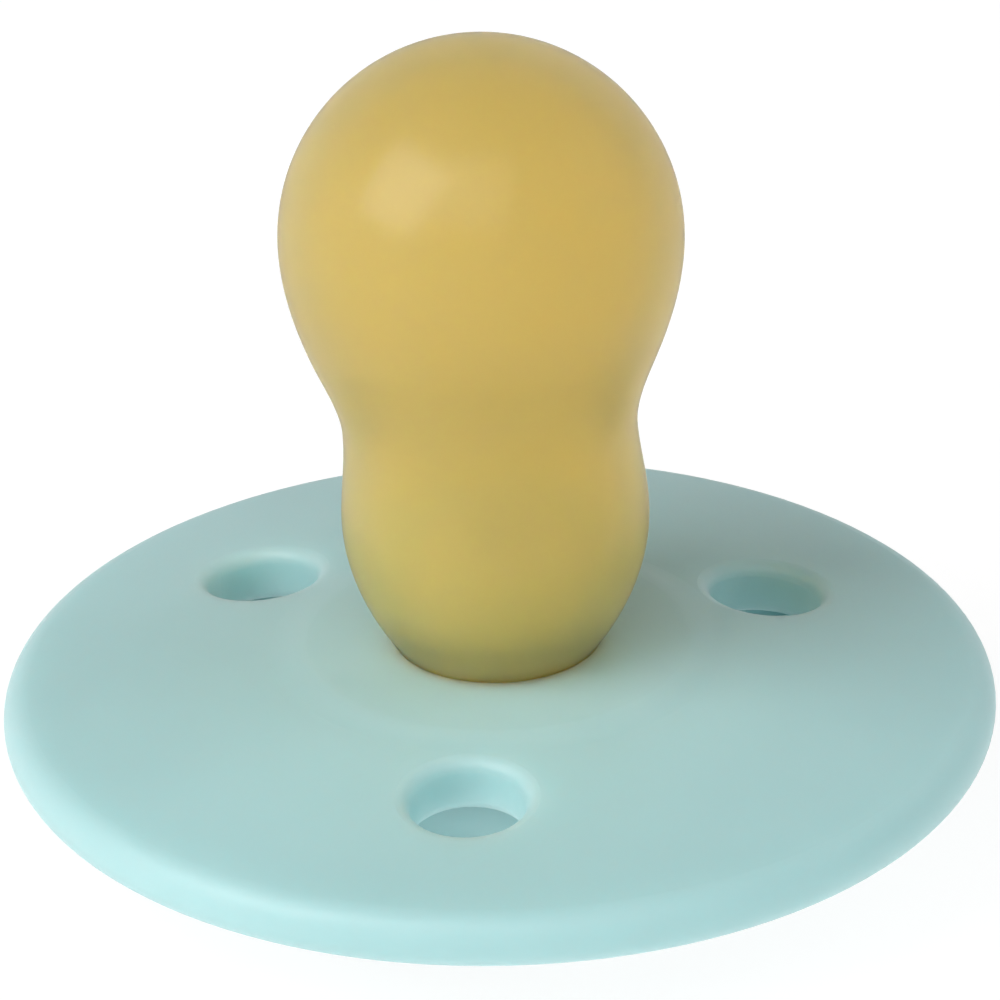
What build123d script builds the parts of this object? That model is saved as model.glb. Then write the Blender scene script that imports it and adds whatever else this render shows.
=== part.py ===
from build123d import *
import os
from math import asin, cos, degrees, radians, sin, sqrt

# A round-shield pacifier, in millimetres.
# The origin is the centre of the knob's flat rear face, +Z runs along the teat,
# and the ring handle lies folded back towards +Y.

# ---- Driving dimensions ----

# Shield: a shallow dome with a full-round rim
shield_diameter = 44.0
rim_radius = 1.3  # half the thickness of the rounded rim
dome_rise = 3.0  # top of the dome above the middle of the rim
shield_thickness = 2.4  # at the centre, hub left out
pad_radius = 9.3  # faintly raised pad round the teat
pad_rise = 0.15
pad_blend = 1.6  # width of the soft edge of the pad

# Vents: three holes evenly spaced round the teat
vent_count = 3
vent_circle_radius = 13.2
vent_radius = 2.5  # vent holes are at least 5 mm across
vent_lip = 0.6  # rounding of a vent's front rim
vent_rear_lip = 0.45
vent_start_angle = 23.7  # first vent, from +X

# Hub on the rear of the shield, with the socket that holds the teat's bead
hub_radius = 8.4
hub_wall = 1.0
hub_web = 2.6  # from the socket's ceiling to the top of the dome
hub_edge = 0.25
snap_rise = 0.3  # how far the snap bead stands out from the hub
snap_width = 0.8

# Teat: heights are measured from the shield's surface
teat_root_radius = 4.55
bulge_radius = 6.7
bulge_height = 6.0
waist_radius = 6.44
waist_height = 10.2
shoulder_radius = 7.48
shoulder_height = 14.0
shoulder_lean = 24.0  # degrees the outline leans outward at the shoulder
bulb_radius = 8.7
bulb_height = 19.2
teat_wall = 1.2
bead_thickness = 1.2
bead_edge = 0.3
root_lean = 37.0  # degrees the outline leans outward as it leaves the shield

# Plug: a hollow rivet with a barbed head that holds the teat from inside
plug_flange_thickness = 1.0
plug_bore_radius = 1.2
plug_head_radius = 4.2
plug_barb_height = 1.9  # widest point of the head above the shield's surface
plug_head_height = 5.2  # top of the head above the shield's surface
plug_barb_rise = 0.7  # height of the barb's underside cone
plug_tip_radius = 2.7
plug_tip_lean = 50.0  # degrees the head leans inward at its tip

# Knob: the rear cap that snaps over the hub and carries the ring handle
knob_floor = 3.9
knob_wall = 1.05
knob_edge = 1.0
lip_edge = 0.3

# Ring handle
ring_diameter = 33.0
ring_tube_radius = 2.15  # the folded ring just fits between the surface and the rim
ring_neck = 1.9  # from each flat end to the corner where the tube meets the loop
ring_elbow_radius = 2.6
ring_end_edge = 0.3
pin_radius = 1.1
pin_reach = 3.0  # how far each pin enters the knob
pivot_height = 2.2

# Clearances
fit_gap = 0.05  # round the teat's neck, the plug and the hub
seat_gap = 0.2  # where the knob's floor and lip come near the shield
bead_gap = 0.1  # bead and flange inside the socket
pin_gap = 0.05  # running fit of the pins
pin_end_gap = 0.3  # beyond the tips of the pins
ring_gap = 0.35  # between the ring's ends and the knob

# ---- Derived sizes ----

bead_bottom = knob_floor + plug_flange_thickness
socket_ceiling = bead_bottom + bead_thickness
dome_top = socket_ceiling + hub_web
rim_height = dome_top - dome_rise
rim_middle = shield_diameter / 2 - rim_radius
rear_rise = dome_rise - shield_thickness
rear_top = dome_top - shield_thickness

# Both faces of the shield are spheres that run tangent into the round rim
dome_sphere = (rim_middle**2 + dome_rise**2 - rim_radius**2) / (2 * (dome_rise - rim_radius))
rear_sphere = (rim_middle**2 + rear_rise**2 - rim_radius**2) / (2 * (rear_rise + rim_radius))


def dome_height(r):
    """Height of the dome's front face at a radius."""
    return dome_top - dome_sphere + sqrt(dome_sphere**2 - r**2)


def dome_slope(r):
    """Slope of the dome's front face at a radius."""
    return -r / sqrt(dome_sphere**2 - r**2)


def rear_height(r):
    """Height of the shield's rear face at a radius."""
    return rear_top - rear_sphere + sqrt(rear_sphere**2 - r**2)


pad_inner = pad_radius - pad_blend / 2
pad_outer = pad_radius + pad_blend / 2
surface_height = dome_height(teat_root_radius) + pad_rise
socket_radius = hub_radius - hub_wall
bead_radius = socket_radius - bead_gap
neck_hole_radius = teat_root_radius + fit_gap
neck_bore_radius = teat_root_radius - teat_wall
plug_stem_radius = neck_bore_radius - fit_gap
knob_bore_radius = hub_radius + fit_gap
knob_radius = knob_bore_radius + knob_wall
knob_lip_height = rear_height(knob_radius) - seat_gap
hub_bottom = knob_floor + seat_gap
snap_height = (hub_bottom + knob_lip_height) / 2
pin_hole_end = knob_radius - pin_reach - pin_end_gap
ring_centre_radius = ring_diameter / 2 - ring_tube_radius
ring_end = knob_radius + ring_gap
ring_corner = ring_end + ring_neck
ring_centre_distance = sqrt(ring_centre_radius**2 - ring_corner**2)
ring_start_angle = -degrees(asin(ring_centre_distance / ring_centre_radius))
ring_far_distance = ring_centre_distance + ring_centre_radius
ring_rest_angle = degrees(asin((pivot_height - ring_tube_radius) / ring_far_distance))

# Each elbow is a fillet that leaves a straight run for the rounded edge of the ring's flat end
ring_run_end = ring_end + ring_end_edge + fit_gap
ring_elbow_room = (ring_corner**2 - ring_run_end**2) / (
    2 * (ring_centre_radius - ring_centre_distance)
)
ring_elbow = min(ring_elbow_radius, ring_elbow_room)

os.makedirs("parts", exist_ok=True)


def snap_outline(gap):
    """Half-section of the hub's snap bead, grown by a gap to make its groove."""
    Polyline(
        (hub_radius - hub_wall / 2, snap_height - snap_width / 2 - gap),
        (hub_radius, snap_height - snap_width / 2 - gap),
        (hub_radius + snap_rise + gap, snap_height),
        (hub_radius, snap_height + snap_width / 2 + gap),
        (hub_radius - hub_wall / 2, snap_height + snap_width / 2 + gap),
        close=True,
    )


# ---- Shield ----

# Where the two spheres meet the round rim
front_rim_r = rim_middle * dome_sphere / (dome_sphere - rim_radius)
rear_rim_r = rim_middle * rear_sphere / (rear_sphere + rim_radius)
front_middle_r = (pad_outer + front_rim_r) / 2

with BuildPart() as shield:
    with BuildSketch(Plane.XZ):
        with BuildLine():
            # Pad round the teat, then its soft edge
            ThreePointArc(
                (0, dome_top + pad_rise),
                (pad_inner / 2, dome_height(pad_inner / 2) + pad_rise),
                (pad_inner, dome_height(pad_inner) + pad_rise),
            )
            Spline(
                (pad_inner, dome_height(pad_inner) + pad_rise),
                (pad_outer, dome_height(pad_outer)),
                tangents=[(1, dome_slope(pad_inner)), (1, dome_slope(pad_outer))],
            )
            # Front face, rounded rim, rear face
            ThreePointArc(
                (pad_outer, dome_height(pad_outer)),
                (front_middle_r, dome_height(front_middle_r)),
                (front_rim_r, dome_height(front_rim_r)),
            )
            ThreePointArc(
                (front_rim_r, dome_height(front_rim_r)),
                (shield_diameter / 2, rim_height),
                (rear_rim_r, rear_height(rear_rim_r)),
            )
            ThreePointArc(
                (rear_rim_r, rear_height(rear_rim_r)),
                (rear_rim_r / 2, rear_height(rear_rim_r / 2)),
                (0, rear_top),
            )
            Line((0, rear_top), (0, dome_top + pad_rise))
        make_face()
    revolve(axis=Axis.Z)
    # Vents through the dome, with rounded lips front and rear
    with BuildSketch(Plane.XY):
        with PolarLocations(vent_circle_radius, vent_count, start_angle=vent_start_angle):
            Circle(vent_radius)
    extrude(amount=dome_top + pad_rise, mode=Mode.SUBTRACT)
    vent_rims = shield.edges(Select.LAST).filter_by(GeomType.LINE, reverse=True).sort_by(Axis.Z)
    fillet(vent_rims[:vent_count], vent_rear_lip)
    fillet(vent_rims[vent_count:], vent_lip)
    # Hub on the rear face, with a snap bead round it
    with BuildSketch(Plane.XY.offset(hub_bottom)):
        Circle(hub_radius)
    extrude(amount=rear_top - hub_bottom)
    chamfer(shield.edges().group_by(Axis.Z)[0], hub_edge)
    with BuildSketch(Plane.XZ):
        with BuildLine():
            snap_outline(0)
        make_face()
    revolve(axis=Axis.Z)
    # Socket for the teat's bead, then the hole for its neck
    with BuildSketch(Plane.XY.offset(hub_bottom)):
        Circle(socket_radius)
    extrude(amount=socket_ceiling - hub_bottom, mode=Mode.SUBTRACT)
    with BuildSketch(Plane.XY.offset(socket_ceiling)):
        Circle(neck_hole_radius)
    extrude(amount=2 * hub_web, mode=Mode.SUBTRACT)
shield.part.label = "shield"
export_step(shield.part, "parts/shield.step")


# ---- Teat ----


def above_shield(radius, height):
    """A point of the teat's outline, its height taken from the shield's surface."""
    return (radius, surface_height + height)


def leaning(angle):
    """Direction of an outline that leans outward from the axis by an angle."""
    return (sin(radians(angle)), cos(radians(angle)))


def teat_outline(inset):
    """The swell from root to bulb and the round cap, moved inward by an inset."""
    Spline(
        above_shield(teat_root_radius - inset, 0),
        above_shield(bulge_radius - inset, bulge_height),
        above_shield(waist_radius - inset, waist_height),
        above_shield(shoulder_radius - inset, shoulder_height),
        above_shield(bulb_radius - inset, bulb_height),
        tangents=[leaning(root_lean), leaning(0), leaning(0), leaning(shoulder_lean), leaning(0)],
    )
    CenterArc(above_shield(0, bulb_height), bulb_radius - inset, 0, 90)


with BuildPart() as teat:
    with BuildSketch(Plane.XZ):
        with BuildLine():
            teat_outline(0)
            Polyline(
                above_shield(0, bulb_height + bulb_radius),
                above_shield(0, bulb_height + bulb_radius - teat_wall),
            )
            teat_outline(teat_wall)
            Polyline(
                (neck_bore_radius, surface_height),
                (neck_bore_radius, bead_bottom),
                (bead_radius, bead_bottom),
                (bead_radius, socket_ceiling),
                (teat_root_radius, socket_ceiling),
                (teat_root_radius, surface_height),
            )
        make_face()
    revolve(axis=Axis.Z)
    bead_rim = teat.edges().filter_by(
        lambda e: e.geom_type == GeomType.CIRCLE and abs(e.radius - bead_radius) < bead_gap
    )
    chamfer(bead_rim, bead_edge)
teat.part.label = "teat"
export_step(teat.part, "parts/teat.step")


# ---- Plug ----

plug_barb_bottom = plug_barb_height - plug_barb_rise

with BuildPart() as teat_plug:
    with BuildSketch(Plane.XZ):
        with BuildLine():
            Polyline(
                (plug_bore_radius, knob_floor),
                (bead_radius, knob_floor),
                (bead_radius, bead_bottom),
                (plug_stem_radius, bead_bottom),
                above_shield(plug_stem_radius, plug_barb_bottom),
                above_shield(plug_head_radius, plug_barb_height),
            )
            Spline(
                above_shield(plug_head_radius, plug_barb_height),
                above_shield(plug_tip_radius, plug_head_height),
                tangents=[leaning(0), leaning(-plug_tip_lean)],
            )
            Polyline(
                above_shield(plug_tip_radius, plug_head_height),
                above_shield(plug_bore_radius, plug_head_height),
                (plug_bore_radius, knob_floor),
            )
        make_face()
    revolve(axis=Axis.Z)
teat_plug.part.label = "teat_plug"
export_step(teat_plug.part, "parts/teat_plug.step")


# ---- Knob ----

with BuildPart() as knob:
    with BuildSketch(Plane.XY):
        Circle(knob_radius)
    extrude(amount=knob_lip_height)
    fillet(knob.edges().group_by(Axis.Z)[0], knob_edge)
    chamfer(knob.edges().group_by(Axis.Z)[-1], lip_edge)
    # Cup for the hub, with a groove for the hub's snap bead
    with BuildSketch(Plane.XY.offset(knob_floor)):
        Circle(knob_bore_radius)
    extrude(amount=knob_lip_height - knob_floor, mode=Mode.SUBTRACT)
    with BuildSketch(Plane.XZ):
        with BuildLine():
            snap_outline(fit_gap)
        make_face()
    revolve(axis=Axis.Z, mode=Mode.SUBTRACT)
    # Blind holes for the ring handle's pins, one on each side
    for side in (1, -1):
        with BuildSketch(Plane.YZ.offset(side * pin_hole_end)):
            with Locations((0, pivot_height)):
                Circle(pin_radius + pin_gap)
        extrude(amount=side * (knob_radius - pin_hole_end), mode=Mode.SUBTRACT)
knob.part.label = "knob"
export_step(knob.part, "parts/knob.step")


# ---- Ring handle ----

# At rest the ring is folded back and tips down until its far side is level with the knob's rear face
ring_up = (0, sin(radians(ring_rest_angle)), cos(radians(ring_rest_angle)))
pivot_plane = Plane(origin=(0, 0, pivot_height), x_dir=(1, 0, 0), z_dir=ring_up)

with BuildPart() as ring_handle:
    # A round tube that turns in at both ends to face the knob
    with BuildLine(pivot_plane) as ring_path:
        Line((ring_end, 0), (ring_corner, 0))
        CenterArc(
            (0, ring_centre_distance),
            ring_centre_radius,
            ring_start_angle,
            180 - 2 * ring_start_angle,
        )
        Line((-ring_corner, 0), (-ring_end, 0))
        corners = ring_path.vertices().filter_by(lambda v: abs(abs(v.X) - ring_corner) < fit_gap)
        fillet(corners, ring_elbow)
    with BuildSketch(Plane.YZ.offset(ring_end)):
        with Locations((0, pivot_height)):
            Circle(ring_tube_radius)
    sweep(path=ring_path.wires()[0])
    end_faces = ring_handle.faces().filter_by(Axis.X)
    fillet(end_faces.edges(), ring_end_edge)
    # Pins that point at each other and run in the knob's blind holes
    for side in (1, -1):
        with BuildSketch(Plane.YZ.offset(side * ring_end)):
            with Locations((0, pivot_height)):
                Circle(pin_radius)
        extrude(amount=-side * (ring_gap + pin_reach))
ring_handle.part.label = "ring_handle"
export_step(ring_handle.part, "parts/ring_handle.step")
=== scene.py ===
import math

import bpy
from mathutils import Matrix, Vector


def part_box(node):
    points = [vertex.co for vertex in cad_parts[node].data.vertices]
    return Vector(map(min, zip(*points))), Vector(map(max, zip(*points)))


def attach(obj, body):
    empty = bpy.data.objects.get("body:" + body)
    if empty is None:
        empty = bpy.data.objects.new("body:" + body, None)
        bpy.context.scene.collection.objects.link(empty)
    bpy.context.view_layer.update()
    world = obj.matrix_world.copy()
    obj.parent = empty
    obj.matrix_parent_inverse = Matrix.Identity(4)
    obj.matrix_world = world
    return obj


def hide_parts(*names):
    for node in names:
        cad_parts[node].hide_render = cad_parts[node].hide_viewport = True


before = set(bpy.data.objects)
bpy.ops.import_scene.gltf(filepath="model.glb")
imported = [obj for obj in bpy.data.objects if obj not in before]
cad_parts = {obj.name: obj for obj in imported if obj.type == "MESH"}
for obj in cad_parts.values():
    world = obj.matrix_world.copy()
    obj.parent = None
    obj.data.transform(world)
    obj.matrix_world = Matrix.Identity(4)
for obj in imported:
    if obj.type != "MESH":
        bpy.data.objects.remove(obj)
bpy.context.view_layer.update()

MM = 0.001  # one millimetre, in the scene's metres

# ---- Sizes, in millimetres as in the part's source unless a line says otherwise ----

# Teat: heights are measured from the shield's surface
ROOT_RADIUS = 4.55  # also the neck's, inside the shield
ROOT_LEAN = 37.0  # degrees the outline leans outward as it leaves the shield
BELLY_RADIUS = 6.74
BELLY_HEIGHT = 6.0
WAIST_RADIUS = 6.42
WAIST_HEIGHT = 10.2
FLARE_RADIUS = 6.75  # where the outline turns from the waist to the bulb
FLARE_HEIGHT = 12.0
FLARE_LEAN = 17.6
SHOULDER_RADIUS = 7.53
SHOULDER_HEIGHT = 14.0
SHOULDER_LEAN = 21.9
BULB_RADIUS = 8.7
BULB_HEIGHT = 19.2
BULB_SHIFT = -0.34  # towards +X: the soft bulb sits a little to one side of its root
SHIFT_FROM = 6.5  # heights between which the teat bends
SHIFT_TO = 14.5
TEAT_WALL = 1.2
BORE_TOP = 0.4  # height at which the neck's straight bore opens into the teat

# Bead inside the hub
BEAD_RADIUS = 7.3
BEAD_THICKNESS = 1.2
BEAD_EDGE = 0.15

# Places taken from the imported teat
teat_low, teat_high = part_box("teat")
BEAD_BOTTOM = teat_low.z / MM
BEAD_TOP = BEAD_BOTTOM + BEAD_THICKNESS
SURFACE_HEIGHT = teat_high.z / MM - BULB_RADIUS - BULB_HEIGHT  # shield's surface at the root

# Camera
CAMERA_DISTANCE = 250.0
CAMERA_TARGET_HEIGHT = 5.7  # middle of the shield's rounded rim
CAMERA_ELEVATION = 28.5  # degrees, as are the three turns below
CAMERA_YAW = 0.05
CAMERA_PITCH = 1.98
CAMERA_ROLL = -1.32
CAMERA_LENS = 202.25
SENSOR_WIDTH = 36.0
CLIP_START = 0.01  # metres, as is the next
CLIP_END = 10.0

# Studio: strengths where 1 is white, and distances in metres
WHITE = (1.0, 1.0, 1.0, 1.0)
WORLD_LIGHT = 0.05
ZENITH_REFLECTION = 0.15  # white walls and a dimmer ceiling, as reflections show them
FLOOR_LIGHT = 0.3
FLOOR_LIT_COLOR = (0.9, 0.9, 0.9, 1.0)
FLOOR_SEEN_COLOR = (0.15, 0.15, 0.15, 1.0)  # dark enough for the shadow to stay faint
FLOOR_ROUGHNESS = 0.9
FLOOR_WHITE_NEAR = 0.9  # the lamps bring it up to white
FLOOR_NEAR = 0.12  # from here its own white grows to 1
FLOOR_FAR = 0.5
FLOOR_HALF_SIZE = 1.5
FLOOR_DROP = 0.00002  # just under the part, so that the two never share a plane
LAMP_DISTANCE = 0.4
LAMP_SIZE = 0.28
LAMP_TARGET_HEIGHT = 20.0  # mm: the middle of the teat


# ---- Small helpers ----


def srgb(red, green, blue):
    """Linear RGBA of a colour written as 0-255 sRGB."""
    linear = []
    for value in (red, green, blue):
        share = value / 255
        linear.append(share / 12.92 if share <= 0.04045 else ((share + 0.055) / 1.055) ** 2.4)
    return (*linear, 1.0)


def new_material(name):
    """A new node material, with its node tree and its Principled shader."""
    material = bpy.data.materials.new(name)
    material.use_nodes = True
    shader = material.node_tree.nodes["Principled BSDF"]
    return material, material.node_tree, shader


def coordinates(tree, kind="Object"):
    """Texture coordinates, which on an object are metres from its origin."""
    return tree.nodes.new("ShaderNodeTexCoord").outputs[kind]


def upward(tree, kind="Object"):
    """The height part of the texture coordinates."""
    split = tree.nodes.new("ShaderNodeSeparateXYZ")
    tree.links.new(coordinates(tree, kind), split.inputs["Vector"])
    return split.outputs["Z"]


def noise(tree, scale, detail, roughness=0.5):
    """A noise texture on object coordinates."""
    texture = tree.nodes.new("ShaderNodeTexNoise")
    texture.inputs["Scale"].default_value = scale
    texture.inputs["Detail"].default_value = detail
    texture.inputs["Roughness"].default_value = roughness
    tree.links.new(coordinates(tree), texture.inputs["Vector"])
    return texture.outputs["Fac"]


def ramp(tree, source, low, high, low_at=0.3, high_at=0.7):
    """Maps a 0-1 value to a blend of two colours."""
    node = tree.nodes.new("ShaderNodeValToRGB")
    node.color_ramp.elements[0].position = low_at
    node.color_ramp.elements[1].position = high_at
    node.color_ramp.elements[0].color = low
    node.color_ramp.elements[1].color = high
    tree.links.new(source, node.inputs["Fac"])
    return node.outputs["Color"]


def map_range(tree, source, to_min, to_max, from_min=0.3, from_max=0.7):
    """Maps a value to another range, clamped."""
    node = tree.nodes.new("ShaderNodeMapRange")
    node.inputs["From Min"].default_value = from_min
    node.inputs["From Max"].default_value = from_max
    node.inputs["To Min"].default_value = to_min
    node.inputs["To Max"].default_value = to_max
    tree.links.new(source, node.inputs["Value"])
    return node.outputs["Result"]


def bump(tree, source, distance, strength):
    """A bump normal from a height; distance in metres."""
    node = tree.nodes.new("ShaderNodeBump")
    node.inputs["Strength"].default_value = strength
    node.inputs["Distance"].default_value = distance
    tree.links.new(source, node.inputs["Height"])
    return node.outputs["Normal"]


# ---- Materials ----

MINT_LOW = srgb(179, 216, 217)
MINT_HIGH = srgb(183, 220, 221)
PLUG_LOW = srgb(191, 204, 177)
PLUG_HIGH = srgb(195, 208, 181)
PLASTIC_IOR = 1.49
PLASTIC_GLOW = (0.9, 1.0, 1.0)  # how far red, green and blue spread, as shares of the scatter
FLOW_SCALE = 90.0  # per metre, as are all the noise scales
GRAIN_SCALE = 9000.0
GRAIN_DEPTH = 0.000004
GRAIN_STRENGTH = 0.35
PLASTIC_ROUGHNESS = (0.40, 0.50)  # from the smooth to the grainy spots

# Painted light: the root's colour is paler than the bulb's, a painted glow that lightens the lower
# teat; the clouds are the latex's own uneven tone
LATEX_ROOT_PAINTED_GLOW = srgb(252, 232, 158)
LATEX_BULB = srgb(235, 215, 146)
GLOW_FADE_START_Z = 9.0  # mm: the painted glow starts to fade here, and the bulb's colour is full at the next
GLOW_FADE_END_Z = 24.0
HEIGHT_GLOW_FADE = (0.1, 0.9)  # the blend at those two heights, from 0, the root's painted glow, to 1, the bulb's colour
CLOUD_TINT = 0.2  # how much the clouds add to it
TINT_STOPS = (0.2, 1.0)  # where the blend of the two colours starts and ends
CLOUD_SCALE = 160.0
SKIN_SCALE = 1800.0
SKIN_DEPTH = 0.00001
SKIN_STRENGTH = 0.3
LATEX_ROUGHNESS = (0.36, 0.42)
LATEX_IOR = 1.2  # low, so that the hazy wall bends and mirrors little
LATEX_GLOW = (1.0, 0.8, 0.35)
LATEX_SCATTER = 0.007  # metres
LATEX_CLARITY = 0.7
SHEEN_WEIGHT = 0.1  # soft gloss over the haze
SHEEN_IOR = 2.0
SHEEN_ROUGHNESS = 0.2


def moulded_plastic(name, low, high, scatter):
    """Satin moulded polypropylene: faint flow variation, fine eroded-mould texture."""
    material, tree, shader = new_material(name)
    flow = noise(tree, FLOW_SCALE, detail=3.0)
    grain = noise(tree, GRAIN_SCALE, detail=2.0)
    tree.links.new(ramp(tree, flow, low, high), shader.inputs["Base Color"])
    tree.links.new(map_range(tree, grain, *PLASTIC_ROUGHNESS), shader.inputs["Roughness"])
    tree.links.new(bump(tree, grain, GRAIN_DEPTH, GRAIN_STRENGTH), shader.inputs["Normal"])
    shader.inputs["IOR"].default_value = PLASTIC_IOR
    shader.inputs["Subsurface Weight"].default_value = 1.0
    shader.inputs["Subsurface Radius"].default_value = PLASTIC_GLOW
    shader.inputs["Subsurface Scale"].default_value = scatter
    return material


def latex(name):
    """Amber natural latex: a thin hazy wall that lets the backdrop and the plug show through."""
    material, tree, shader = new_material(name)
    clouds = noise(tree, CLOUD_SCALE, detail=4.0, roughness=0.6)
    skin = noise(tree, SKIN_SCALE, detail=3.0)
    # Painted light: the colour is paler lower down, a painted glow on the lower teat, with the
    # clouds' own uneven tone added
    heights = (GLOW_FADE_START_Z * MM, GLOW_FADE_END_Z * MM)
    height = map_range(tree, upward(tree), *HEIGHT_GLOW_FADE, *heights)
    clouds_and_painted_glow = tree.nodes.new("ShaderNodeMath")
    clouds_and_painted_glow.operation = "MULTIPLY_ADD"
    clouds_and_painted_glow.inputs[1].default_value = CLOUD_TINT
    tree.links.new(clouds, clouds_and_painted_glow.inputs[0])
    tree.links.new(height, clouds_and_painted_glow.inputs[2])
    tone_and_painted_glow = ramp(tree, clouds_and_painted_glow.outputs["Value"], LATEX_ROOT_PAINTED_GLOW, LATEX_BULB, *TINT_STOPS)
    tree.links.new(tone_and_painted_glow, shader.inputs["Base Color"])
    tree.links.new(map_range(tree, clouds, *LATEX_ROUGHNESS), shader.inputs["Roughness"])
    tree.links.new(bump(tree, skin, SKIN_DEPTH, SKIN_STRENGTH), shader.inputs["Normal"])
    shader.inputs["IOR"].default_value = LATEX_IOR
    shader.inputs["Subsurface Weight"].default_value = 1.0
    shader.inputs["Subsurface Radius"].default_value = LATEX_GLOW
    shader.inputs["Subsurface Scale"].default_value = LATEX_SCATTER
    shader.inputs["Transmission Weight"].default_value = LATEX_CLARITY
    shader.inputs["Coat Weight"].default_value = SHEEN_WEIGHT
    shader.inputs["Coat IOR"].default_value = SHEEN_IOR
    shader.inputs["Coat Roughness"].default_value = SHEEN_ROUGHNESS
    return material


# ---- Teat ----


def outline_points(knots, steps=24):
    """A smooth curve through knots of radius, height and lean: cubic spans that lean as told."""
    points = []
    for (r0, z0, lean0), (r1, z1, lean1) in zip(knots, knots[1:]):
        chord = math.hypot(r1 - r0, z1 - z0)
        start, end = math.radians(lean0), math.radians(lean1)
        for i in range(steps):
            s = i / steps
            # Hermite weights of the two ends and of their two directions
            a = 2 * s**3 - 3 * s**2 + 1
            b = (s**3 - 2 * s**2 + s) * chord
            c = 3 * s**2 - 2 * s**3
            d = (s**3 - s**2) * chord
            r = a * r0 + b * math.sin(start) + c * r1 + d * math.sin(end)
            z = a * z0 + b * math.cos(start) + c * z1 + d * math.cos(end)
            points.append((r, z))
    return points


def cap_points(radius, height, steps=40):
    """Quarter circle from the side of the bulb to its top."""
    quarter = [math.pi / 2 * i / steps for i in range(steps + 1)]
    return [(radius * math.cos(a), height + radius * math.sin(a)) for a in quarter]


def inward(points, wall):
    """The outline moved inward by the wall, square to itself."""
    moved = []
    for i, (r, z) in enumerate(points):
        before = points[max(i - 1, 0)]
        after = points[min(i + 1, len(points) - 1)]
        dr, dz = after[0] - before[0], after[1] - before[1]
        length = math.hypot(dr, dz)
        moved.append((max(r - wall * dz / length, 0.0), z + wall * dr / length))
    return moved


def revolved(name, profile, segments=160):
    """A closed surface of revolution from a closed (r, z) profile in millimetres."""
    verts, faces, rings = [], [], []
    for r, z in profile:
        if r == 0.0:
            rings.append([len(verts)])
            verts.append((0.0, 0.0, z * MM))
            continue
        rings.append(list(range(len(verts), len(verts) + segments)))
        for k in range(segments):
            angle = 2 * math.pi * k / segments
            verts.append((r * math.cos(angle) * MM, r * math.sin(angle) * MM, z * MM))
    for low, high in zip(rings, rings[1:] + rings[:1]):
        for k in range(segments):
            n = (k + 1) % segments
            corners = [low[k % len(low)], low[n % len(low)]]
            corners += [high[n % len(high)], high[k % len(high)]]
            # A point on the axis stands for a whole ring: its corner is used once
            face = list(dict.fromkeys(corners))
            if len(face) > 2:
                faces.append(face)
    mesh = bpy.data.meshes.new(name)
    mesh.from_pydata(verts, [], faces)
    mesh.validate()
    for polygon in mesh.polygons:
        polygon.use_smooth = True
    made = bpy.data.objects.new(name, mesh)
    bpy.context.scene.collection.objects.link(made)
    return made


def make_teat():
    """Hollow latex teat with its neck and the bead inside the hub, bent a little as it stands."""
    knots = [
        (ROOT_RADIUS, 0.0, ROOT_LEAN),
        (BELLY_RADIUS, BELLY_HEIGHT, 0.0),
        (WAIST_RADIUS, WAIST_HEIGHT, 0.0),
        (FLARE_RADIUS, FLARE_HEIGHT, FLARE_LEAN),
        (SHOULDER_RADIUS, SHOULDER_HEIGHT, SHOULDER_LEAN),
        (BULB_RADIUS, BULB_HEIGHT, 0.0),
    ]
    outer = outline_points(knots) + cap_points(BULB_RADIUS, BULB_HEIGHT)
    inner = inward(outer, TEAT_WALL)
    outer = [(r, z + SURFACE_HEIGHT) for r, z in outer]
    inner = [(r, z + SURFACE_HEIGHT) for r, z in inner]
    neck_bore = ROOT_RADIUS - TEAT_WALL
    bead = [
        (neck_bore, BEAD_BOTTOM),
        (BEAD_RADIUS - BEAD_EDGE, BEAD_BOTTOM),
        (BEAD_RADIUS, BEAD_BOTTOM + BEAD_EDGE),
        (BEAD_RADIUS, BEAD_TOP - BEAD_EDGE),
        (BEAD_RADIUS - BEAD_EDGE, BEAD_TOP),
        (ROOT_RADIUS, BEAD_TOP),
    ]
    inner = [(r, z) for r, z in inner if z > SURFACE_HEIGHT + BORE_TOP]
    # Both walls end exactly on the axis
    outer[-1] = (0.0, outer[-1][1])
    inner[-1] = (0.0, inner[-1][1])
    profile = bead + outer + inner[::-1] + [(neck_bore, SURFACE_HEIGHT)]
    made = revolved("teat_latex", profile)
    for vertex in made.data.vertices:
        height = vertex.co.z / MM - SURFACE_HEIGHT
        share = min(max((height - SHIFT_FROM) / (SHIFT_TO - SHIFT_FROM), 0.0), 1.0)
        vertex.co.x += BULB_SHIFT * MM * share**2 * (3 - 2 * share)
    return made


# ---- Camera, light and floor ----


def turned(first, second, angle):
    """Two directions, square to each other, turned in their plane by an angle in degrees."""
    c, s = math.cos(math.radians(angle)), math.sin(math.radians(angle))
    return first * c + second * s, second * c - first * s


def make_camera():
    """Camera placed by its distance and elevation, aimed by three small turns."""
    elevation = math.radians(CAMERA_ELEVATION)
    offset = Vector((0.0, -math.cos(elevation), math.sin(elevation))) * CAMERA_DISTANCE * MM
    target = Vector((0.0, 0.0, CAMERA_TARGET_HEIGHT * MM))
    right = Vector((1.0, 0.0, 0.0))
    ahead = -offset.normalized()
    up = right.cross(ahead)
    ahead, right = turned(ahead, right, CAMERA_YAW)
    ahead, up = turned(ahead, up, CAMERA_PITCH)
    right, up = turned(right, up, CAMERA_ROLL)
    data = bpy.data.cameras.new("camera")
    data.lens = CAMERA_LENS
    data.sensor_width = SENSOR_WIDTH
    data.clip_start = CLIP_START
    data.clip_end = CLIP_END
    camera = bpy.data.objects.new("camera", data)
    axes = Matrix((right, up, -ahead)).transposed().to_4x4()
    camera.matrix_world = Matrix.Translation(target + offset) @ axes
    bpy.context.scene.collection.objects.link(camera)
    bpy.context.scene.camera = camera


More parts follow.
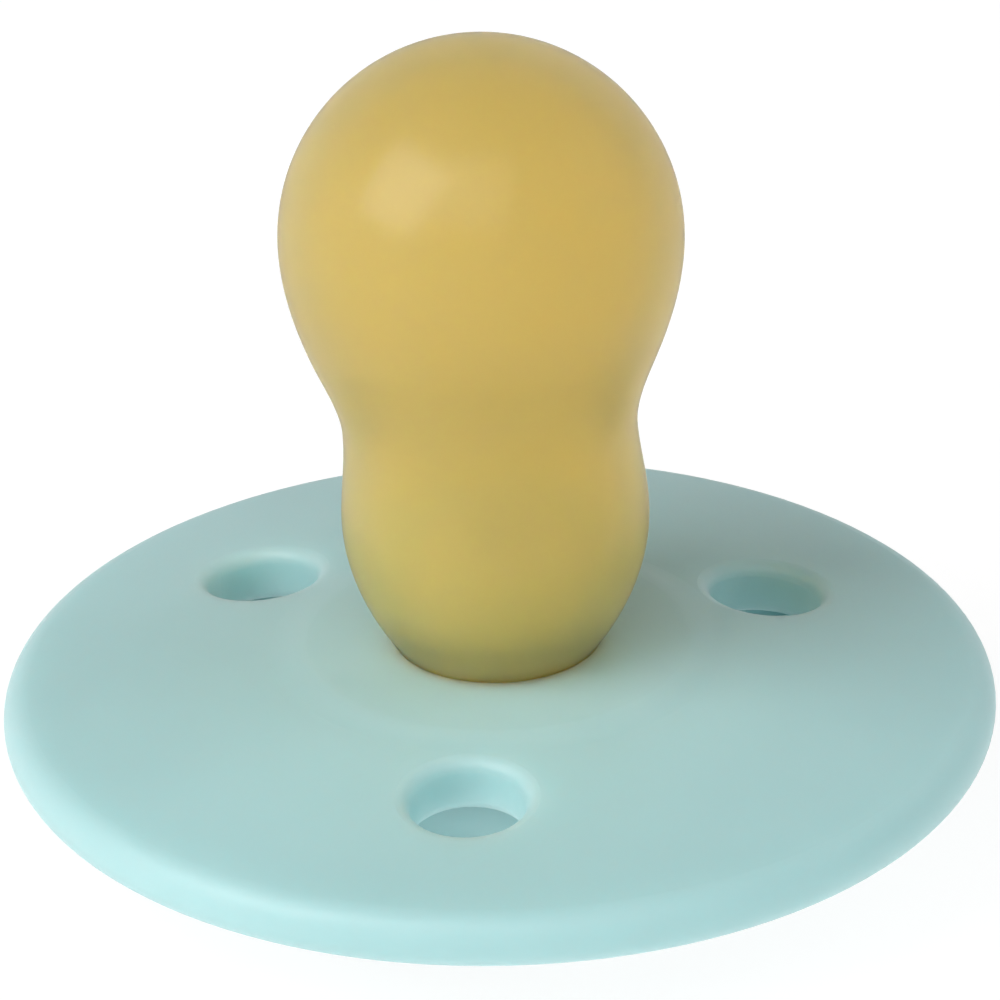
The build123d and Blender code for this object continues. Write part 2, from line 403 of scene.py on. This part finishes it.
def make_lamp(name, azimuth, elevation, power, mirrored=True):
    """Square softbox that faces the object; angles in degrees, power in watts."""
    data = bpy.data.lights.new(name, "AREA")
    data.size = LAMP_SIZE
    data.energy = power
    lamp = bpy.data.objects.new(name, data)
    turn, tilt = math.radians(azimuth), math.radians(elevation)
    flat = math.cos(tilt)
    way = Vector((math.cos(turn) * flat, math.sin(turn) * flat, math.sin(tilt)))
    lamp.location = Vector((0.0, 0.0, LAMP_TARGET_HEIGHT * MM)) + way * LAMP_DISTANCE
    lamp.rotation_mode = "QUATERNION"
    lamp.rotation_quaternion = way.to_track_quat("Z", "Y")
    lamp.visible_glossy = mirrored  # off, it lights the object but leaves no highlight
    bpy.context.scene.collection.objects.link(lamp)


def seen_rays(tree):
    """Two switches: 1 for the camera's own rays, and 1 also for mirrored and transmitted ones."""
    path = tree.nodes.new("ShaderNodeLightPath")
    total = path.outputs["Is Camera Ray"]
    for kind in ("Is Glossy Ray", "Is Transmission Ray"):
        larger = tree.nodes.new("ShaderNodeMath")
        larger.operation = "MAXIMUM"
        tree.links.new(total, larger.inputs[0])
        tree.links.new(path.outputs[kind], larger.inputs[1])
        total = larger.outputs["Value"]
    return path.outputs["Is Camera Ray"], total


def blend(tree, factor, plain, seen):
    """Goes from plain to seen as the factor goes from 0 to 1; each is a number or an output."""
    node = tree.nodes.new("ShaderNodeMix")
    tree.links.new(factor, node.inputs["Factor"])
    for name, value in (("A", plain), ("B", seen)):
        if isinstance(value, float):
            node.inputs[name].default_value = value
        else:
            tree.links.new(value, node.inputs[name])
    return node.outputs["Result"]


def make_world():
    """White surroundings: dim as light, white to the camera and in gloss and clear walls."""
    world = bpy.data.worlds.new("studio")
    world.use_nodes = True
    bpy.context.scene.world = world
    tree = world.node_tree
    background = tree.nodes["Background"]
    background.inputs["Color"].default_value = WHITE
    mirrored = map_range(tree, upward(tree, "Generated"), 1.0, ZENITH_REFLECTION, 0.0, 1.0)
    camera_ray, any_seen_ray = seen_rays(tree)
    strength = blend(tree, any_seen_ray, WORLD_LIGHT, mirrored)
    strength = blend(tree, camera_ray, strength, 1.0)
    tree.links.new(strength, background.inputs["Strength"])


def make_floor():
    """Plain white floor that reads white to the camera and keeps a faint shadow."""
    half = FLOOR_HALF_SIZE
    mesh = bpy.data.meshes.new("floor")
    corners = [(-half, -half, 0.0), (half, -half, 0.0), (half, half, 0.0), (-half, half, 0.0)]
    mesh.from_pydata(corners, [], [(0, 1, 2, 3)])
    floor = bpy.data.objects.new("floor", mesh)
    floor.location = (0.0, 0.0, -FLOOR_DROP)
    bpy.context.scene.collection.objects.link(floor)
    material, tree, shader = new_material("floor")
    _, seen = seen_rays(tree)
    shade = ramp(tree, seen, FLOOR_LIT_COLOR, FLOOR_SEEN_COLOR, 0.0, 1.0)
    tree.links.new(shade, shader.inputs["Base Color"])
    shader.inputs["Roughness"].default_value = FLOOR_ROUGHNESS
    shader.inputs["Emission Color"].default_value = WHITE
    # Past the lamps' reach the floor's own white takes over
    away = tree.nodes.new("ShaderNodeVectorMath")
    away.operation = "LENGTH"
    tree.links.new(coordinates(tree), away.inputs[0])
    white = map_range(tree, away.outputs["Value"], FLOOR_WHITE_NEAR, 1.0, FLOOR_NEAR, FLOOR_FAR)
    tree.links.new(blend(tree, seen, FLOOR_LIGHT, white), shader.inputs["Emission Strength"])
    mesh.materials.append(material)


# ---- The object ----

# How far light soaks in, in millimetres: farthest in the hollow plug, so that it glows in the teat
for node, low, high, scatter in (
    ("shield", MINT_LOW, MINT_HIGH, 3.0),
    ("knob", MINT_LOW, MINT_HIGH, 2.0),
    ("ring_handle", MINT_LOW, MINT_HIGH, 2.0),
    ("teat_plug", PLUG_LOW, PLUG_HIGH, 12.0),
):
    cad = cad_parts[node]
    cad.data.materials.clear()
    cad.data.materials.append(moulded_plastic(node + "_plastic", low, high, scatter * MM))

teat = make_teat()
teat.data.materials.append(latex("latex"))
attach(teat, "guard")
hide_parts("teat")

make_camera()
make_lamp("key", -150.0, 40.0, 1.22)
make_lamp("front", -95.0, 50.0, 0.43)
make_lamp("right", 0.0, 30.0, 0.44, mirrored=False)
make_lamp("back", 60.0, 30.0, 0.05)
make_world()
make_floor()
bpy.context.scene.view_settings.view_transform = "Standard"
